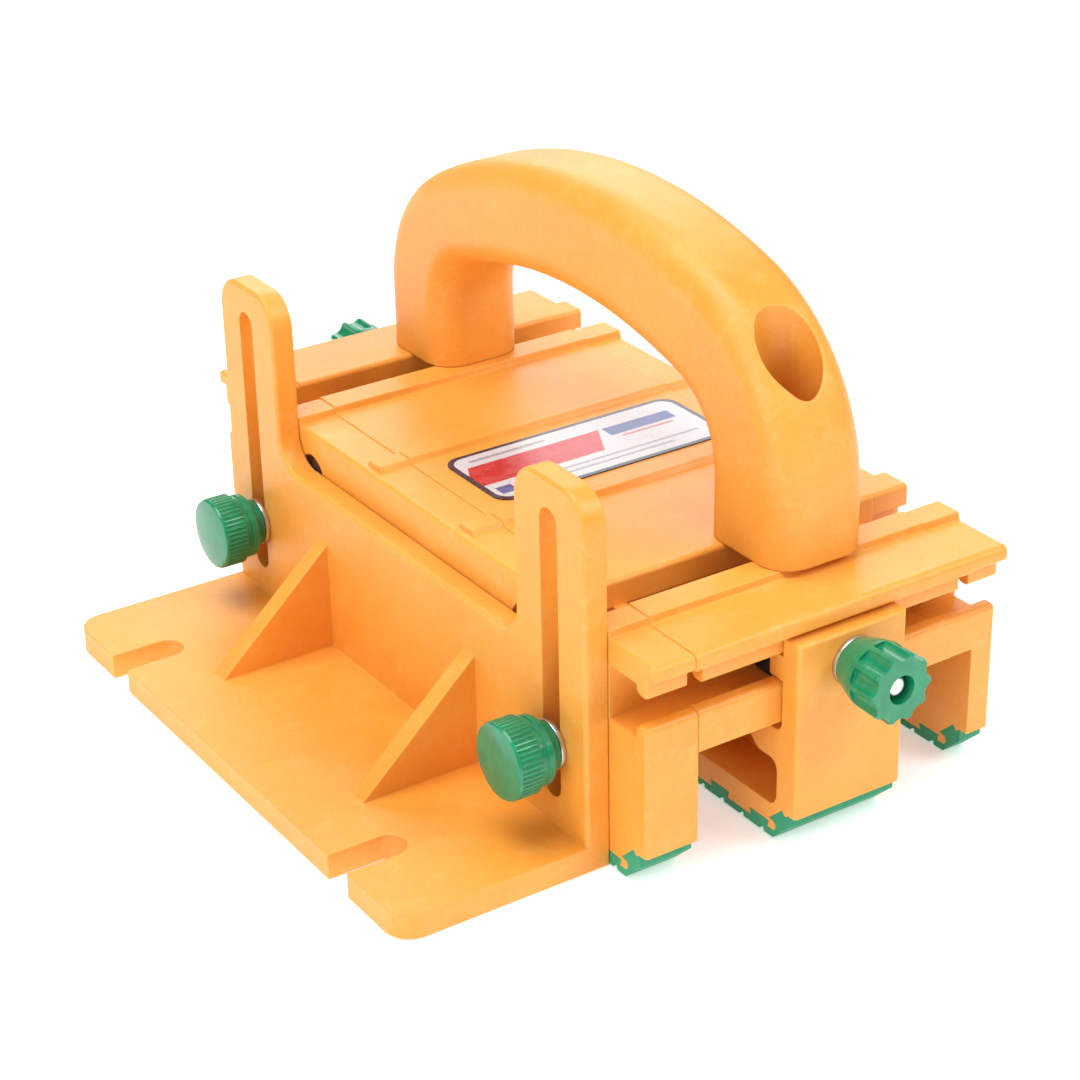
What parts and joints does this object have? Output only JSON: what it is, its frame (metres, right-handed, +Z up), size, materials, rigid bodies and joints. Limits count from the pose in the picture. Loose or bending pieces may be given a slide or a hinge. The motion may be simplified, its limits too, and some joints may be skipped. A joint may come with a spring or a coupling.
{
  "type": "table saw push block",
  "caption": "Table saw push block: bridge-shaped body on treaded legs with an arched handle, a sliding centre leg and a bolt-on balance support.",
  "frame": {"origin": "middle of the whole block's footprint, on the surface it stands on, in the rest pose", "axes": "+X across the block, from the balance support towards the narrow right leg; +Y along the block, from the near end to the far end; +Z up"},
  "size_m": [0.14, 0.2156, 0.1165],
  "materials": {
    "yellow_plastic": "moulded yellow-orange engineering plastic, slightly mottled, matt",
    "green_plastic": "glossy green moulded knob plastic",
    "green_rubber": "matt green grip rubber",
    "zinc_steel": "zinc-plated steel",
    "brass_insert": "turned brass",
    "black_plastic": "black moulded plastic",
    "label_film": "printed film label, white panel and red band in a dark border, no lettering"
  },
  "bodies": {
    "frame_body": {"body_deck": "yellow_plastic", "left_leg": "yellow_plastic", "right_leg": "yellow_plastic", "left_tread": "green_rubber", "right_tread": "green_rubber", "left_leg_screws": "zinc_steel", "right_leg_screws": "zinc_steel", "left_leg_nuts": "zinc_steel", "right_leg_nuts": "zinc_steel", "leg_thread_inserts": "brass_insert", "deck_label": "label_film"},
    "handle_body": {"handle": "yellow_plastic", "handle_nuts": "zinc_steel", "handle_washers": "zinc_steel", "handle_bolts": "zinc_steel"},
    "centre_leg_body": {"centre_leg": "yellow_plastic", "centre_tread": "green_rubber", "near_slot_slider": "black_plastic", "near_clamp_bolt": "zinc_steel", "near_clamp_washer": "zinc_steel", "far_slot_slider": "black_plastic", "far_clamp_bolt": "zinc_steel", "far_clamp_washer": "zinc_steel"},
    "near_star_body": {"near_star_knob": "green_plastic", "near_star_insert": "brass_insert"},
    "far_star_body": {"far_star_knob": "green_plastic", "far_star_insert": "brass_insert"},
    "support_body": {"balance_support": "yellow_plastic"},
    "near_thumb_body": {"near_thumb_knob": "green_plastic", "near_thumb_stud": "zinc_steel", "near_thumb_washer": "zinc_steel"},
    "far_thumb_body": {"far_thumb_knob": "green_plastic", "far_thumb_stud": "zinc_steel", "far_thumb_washer": "zinc_steel"}
  },
  "joints": [
    {"name": "handle_slide", "type": "slide", "parent": "frame_body", "child": "handle_body", "axis": [1, 0, 0], "range_m": [-0.0285, 0.0148]},
    {"name": "centre_leg_slide", "type": "slide", "parent": "frame_body", "child": "centre_leg_body", "axis": [1, 0, 0], "range_m": [-0.02, 0.0231]},
    {"name": "near_star_turn", "type": "hinge", "parent": "centre_leg_body", "child": "near_star_body", "pos_m": [0.0266, -0.101, 0.04085], "axis": [0, -1, 0], "range_deg": [0, 900]},
    {"name": "far_star_turn", "type": "hinge", "parent": "centre_leg_body", "child": "far_star_body", "pos_m": [0.0266, 0.101, 0.04085], "axis": [0, 1, 0], "range_deg": [0, 900]},
    {"name": "support_slide", "type": "slide", "parent": "frame_body", "child": "support_body", "axis": [0, 0, 1], "range_m": [-0.05, 0.0095]},
    {"name": "near_thumb_turn", "type": "hinge", "parent": "frame_body", "child": "near_thumb_body", "pos_m": [-0.03, -0.0623, 0.0246], "axis": [-1, 0, 0], "range_deg": [0, 900]},
    {"name": "far_thumb_turn", "type": "hinge", "parent": "frame_body", "child": "far_thumb_body", "pos_m": [-0.03, 0.0623, 0.0246], "axis": [-1, 0, 0], "range_deg": [0, 900]}
  ]
}
